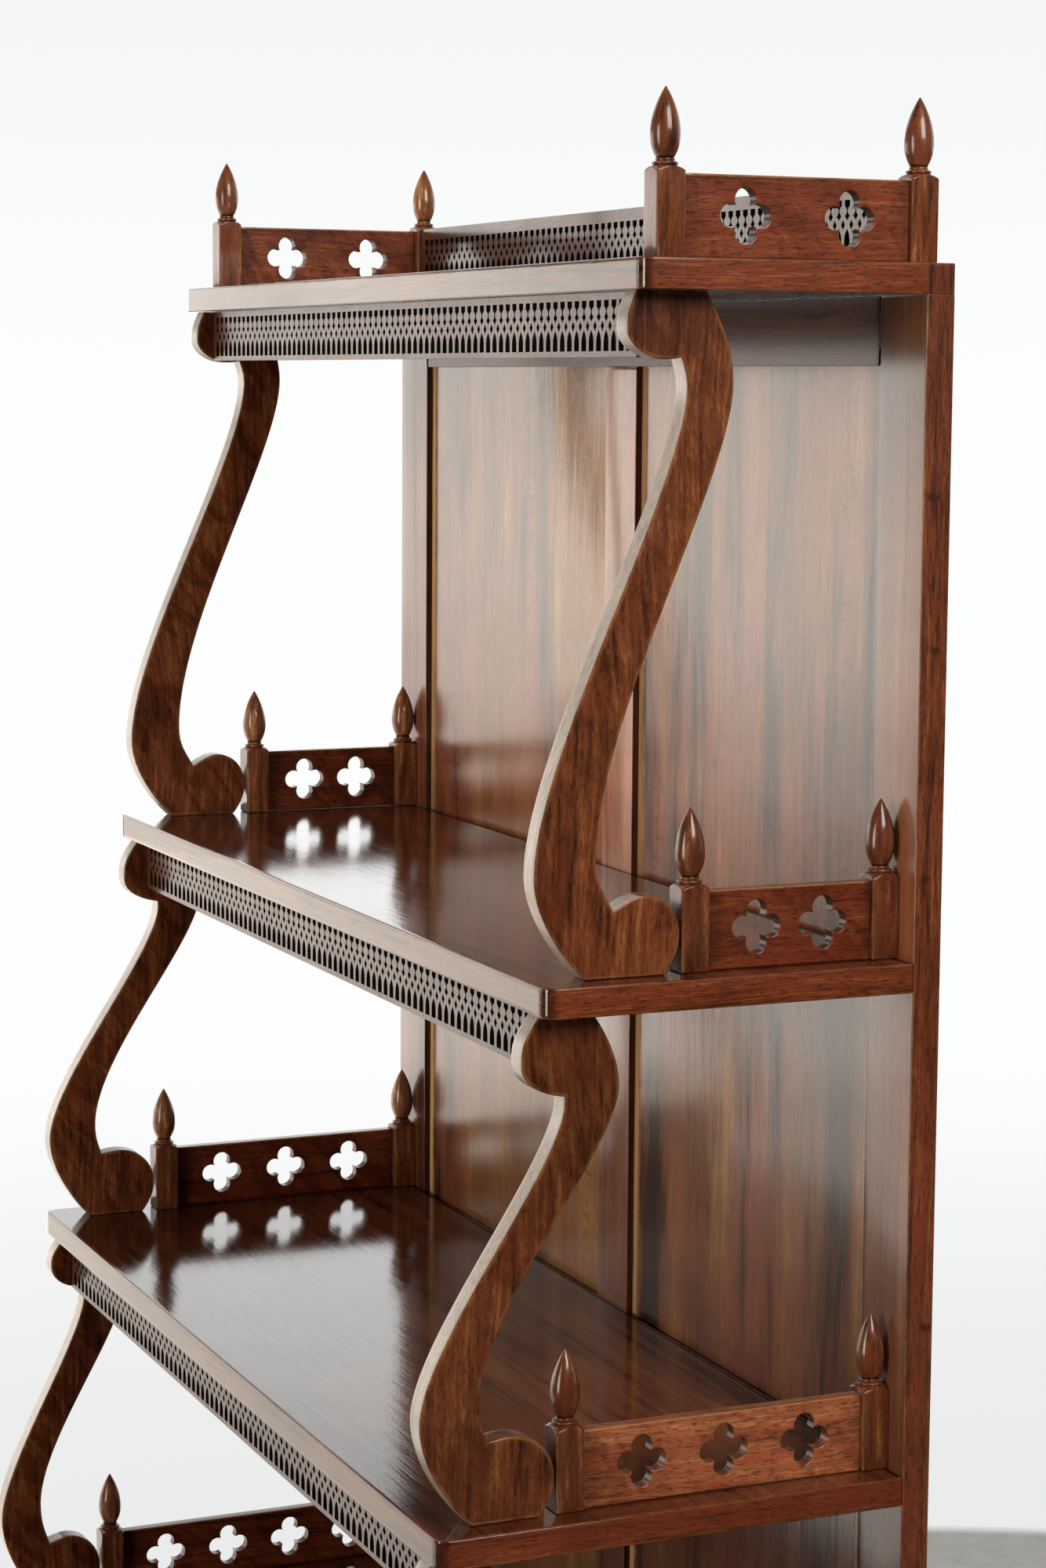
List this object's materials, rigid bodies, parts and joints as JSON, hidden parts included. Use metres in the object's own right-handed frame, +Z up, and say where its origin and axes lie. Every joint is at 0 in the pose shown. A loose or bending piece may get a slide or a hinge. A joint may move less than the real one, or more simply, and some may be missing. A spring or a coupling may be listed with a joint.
{
  "type": "open bookcase",
  "caption": "Open waterfall bookcase with S-shaped supports, pierced end galleries, turned finials, fret aprons and a panelled back.",
  "frame": {"origin": "middle of the bounding box's bottom, on the floor", "axes": "+Z up, the front faces -Y, +X to the right seen from the front"},
  "size_m": [1.022, 0.452, 1.5185],
  "materials": {
    "shelf_wood": "polished",
    "support_wood": "polished",
    "post_wood": "polished",
    "gallery_wood": "polished",
    "fret_wood": "satin",
    "board_wood": "matte",
    "frame_wood": "polished",
    "panel_wood": "polished"
  },
  "bodies": {
    "root": {"back_gallery_board": "board_wood", "back_gallery_fret": "fret_wood", "back_panel_left": "panel_wood", "back_panel_right": "panel_wood", "bottom_rail": "frame_wood", "fret_1": "fret_wood", "fret_2": "fret_wood", "fret_3": "fret_wood", "fret_board_1": "board_wood", "fret_board_2": "board_wood", "fret_board_3": "board_wood", "gallery_1_left": "gallery_wood", "gallery_1_right": "gallery_wood", "gallery_2_left": "gallery_wood", "gallery_2_right": "gallery_wood", "gallery_3_left": "gallery_wood", "gallery_3_right": "gallery_wood", "gallery_4_left": "gallery_wood", "gallery_4_right": "gallery_wood", "muntin": "frame_wood", "plinth_front": "frame_wood", "plinth_left": "frame_wood", "plinth_right": "frame_wood", "post_1_front_left": "post_wood", "post_1_front_right": "post_wood", "post_1_rear_left": "post_wood", "post_1_rear_right": "post_wood", "post_2_front_left": "post_wood", "post_2_front_right": "post_wood", "post_2_rear_left": "post_wood", "post_2_rear_right": "post_wood", "post_3_front_left": "post_wood", "post_3_front_right": "post_wood", "post_3_rear_left": "post_wood", "post_3_rear_right": "post_wood", "post_4_front_left": "post_wood", "post_4_front_right": "post_wood", "post_4_rear_left": "post_wood", "post_4_rear_right": "post_wood", "shelf_1": "shelf_wood", "shelf_2": "shelf_wood", "shelf_3": "shelf_wood", "shelf_4": "shelf_wood", "stile_left": "frame_wood", "stile_right": "frame_wood", "support_1_left": "support_wood", "support_1_right": "support_wood", "support_2_left": "support_wood", "support_2_right": "support_wood", "support_3_left": "support_wood", "support_3_right": "support_wood", "top_rail": "frame_wood"}
  },
  "joints": []
}
